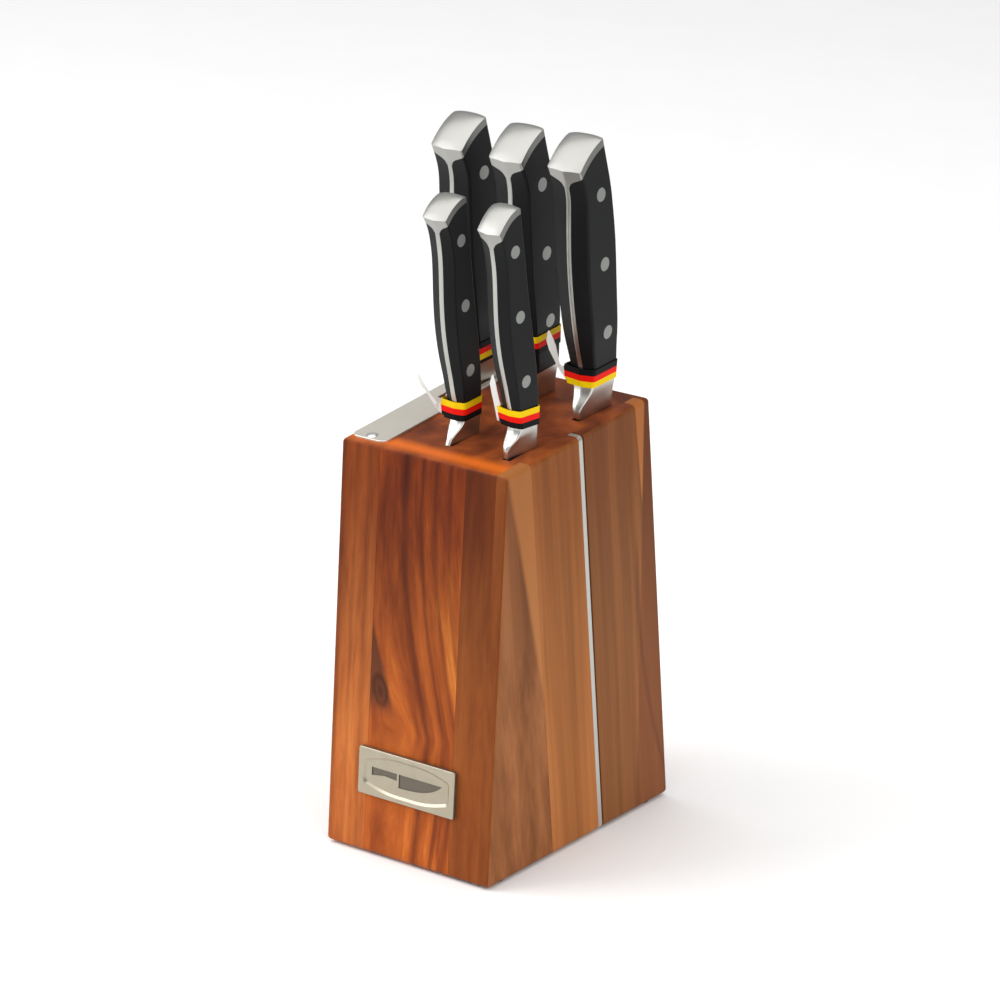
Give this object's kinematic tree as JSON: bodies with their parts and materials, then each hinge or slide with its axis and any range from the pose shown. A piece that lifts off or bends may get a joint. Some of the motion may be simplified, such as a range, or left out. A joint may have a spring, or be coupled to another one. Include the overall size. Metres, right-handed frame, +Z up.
{
  "type": "knife block with knives",
  "caption": "Laminated acacia knife block with a steel side inlay, a top plate and a badge, holding riveted kitchen knives that lift out of their slots.",
  "frame": {"origin": "on the table, under the middle of the block's footprint", "axes": "+X to the right seen from the front with the badge, +Y towards the back, +Z up"},
  "size_m": [0.102, 0.1528, 0.3614],
  "materials": {
    "acacia_wood": "oiled, satin",
    "satin_steel": "satin brushed",
    "polished_steel": "fine polished stainless steel",
    "rivet_steel": "ground flush, satin",
    "black_scale": "satin black",
    "satin_nickel": "satin nickel",
    "printed_label": "printed self-adhesive paper",
    "foot_rubber": "matt"
  },
  "bodies": {
    "block": {"left_board": "acacia_wood", "left_slot_front_spacer": "acacia_wood", "left_slot_rear_spacer": "acacia_wood", "left_inner_board": "acacia_wood", "left_core_board": "acacia_wood", "middle_slot_front_spacer": "acacia_wood", "middle_slot_centre_spacer": "acacia_wood", "middle_slot_rear_spacer": "acacia_wood", "right_core_board": "acacia_wood", "right_slot_board": "acacia_wood", "right_slot_front_spacer": "acacia_wood", "right_slot_centre_spacer": "acacia_wood", "right_slot_rear_spacer": "acacia_wood", "right_inner_board": "acacia_wood", "right_outer_corner_board": "acacia_wood", "right_outer_front_board": "acacia_wood", "right_outer_rear_board": "acacia_wood", "side_inlay_strip": "satin_steel", "top_cover_plate": "satin_steel", "cover_plate_screws": "polished_steel", "badge": "satin_nickel", "badge_pins": "polished_steel", "feet": "foot_rubber"},
    "chef_knife": {"chef_forging": "polished_steel", "chef_left_scale": "black_scale", "chef_right_scale": "black_scale", "chef_rivets": "rivet_steel", "chef_label": "printed_label"},
    "bread_knife": {"bread_forging": "polished_steel", "bread_left_scale": "black_scale", "bread_right_scale": "black_scale", "bread_rivets": "rivet_steel", "bread_label": "printed_label"},
    "carving_knife": {"carving_forging": "polished_steel", "carving_left_scale": "black_scale", "carving_right_scale": "black_scale", "carving_rivets": "rivet_steel", "carving_label": "printed_label"},
    "utility_knife": {"utility_forging": "polished_steel", "utility_left_scale": "black_scale", "utility_right_scale": "black_scale", "utility_rivets": "rivet_steel", "utility_label": "printed_label"},
    "paring_knife": {"paring_forging": "polished_steel", "paring_left_scale": "black_scale", "paring_right_scale": "black_scale", "paring_rivets": "rivet_steel", "paring_label": "printed_label"}
  },
  "joints": [
    {"name": "chef_knife_slide", "type": "slide", "parent": "block", "child": "chef_knife", "axis": [0, -0.0906, 0.9959], "range_m": [0, 0.212]},
    {"name": "bread_knife_slide", "type": "slide", "parent": "block", "child": "bread_knife", "axis": [0, -0.0985, 0.9951], "range_m": [0, 0.212]},
    {"name": "carving_knife_slide", "type": "slide", "parent": "block", "child": "carving_knife", "axis": [0, -0.0906, 0.9959], "range_m": [0, 0.212]},
    {"name": "utility_knife_slide", "type": "slide", "parent": "block", "child": "utility_knife", "axis": [0, -0.108, 0.9942], "range_m": [0, 0.142]},
    {"name": "paring_knife_slide", "type": "slide", "parent": "block", "child": "paring_knife", "axis": [0, -0.134, 0.991], "range_m": [0, 0.112]}
  ]
}
